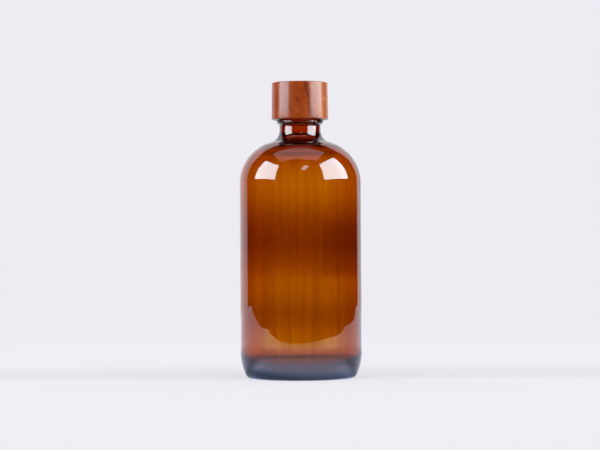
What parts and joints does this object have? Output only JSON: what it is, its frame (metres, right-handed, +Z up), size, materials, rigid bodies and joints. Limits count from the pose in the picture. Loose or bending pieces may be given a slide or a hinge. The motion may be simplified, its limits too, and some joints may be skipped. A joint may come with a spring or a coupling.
{
  "type": "aftershave bottle",
  "caption": "Round-shouldered amber glass bottle for aftershave, with a pour plug in its neck and a turned wooden screw cap over a threaded insert and foam liner.",
  "frame": {"origin": "centre of the circle that the bottle stands on, at the level of the surface under it", "axes": "+Z up the bottle's axis towards the cap; the bottle looks the same from every side, and +Y is the way the front view looks"},
  "size_m": [0.0758, 0.0758, 0.1842],
  "materials": {
    "amber_glass": "clear amber, glossy",
    "turned_wood": "reddish brown, satin lacquer",
    "white_polypropylene": "moulded, semi-gloss",
    "white_foam": "foam with a smooth skin",
    "natural_polythene": "milky, slightly translucent"
  },
  "bodies": {
    "bottle": {"glass_bottle": "amber_glass", "pour_plug": "natural_polythene"},
    "liner": {"sealing_liner": "white_foam"},
    "cap": {"threaded_insert": "white_polypropylene", "wooden_cap_shell": "turned_wood"}
  },
  "joints": [
    {"name": "cap_lift", "type": "slide", "parent": "bottle", "child": "liner", "axis": [0, 0, 1], "range_m": [0, 0.0212]},
    {"name": "cap_turn", "type": "hinge", "parent": "liner", "child": "cap", "pos_m": [0, 0, 0.1609], "axis": [0, 0, 1], "range_deg": [0, 1800]}
  ],
  "couplings": [
    {"joint": "cap_lift", "follows": "cap_turn", "m_per_rad": 0.00067376}
  ]
}
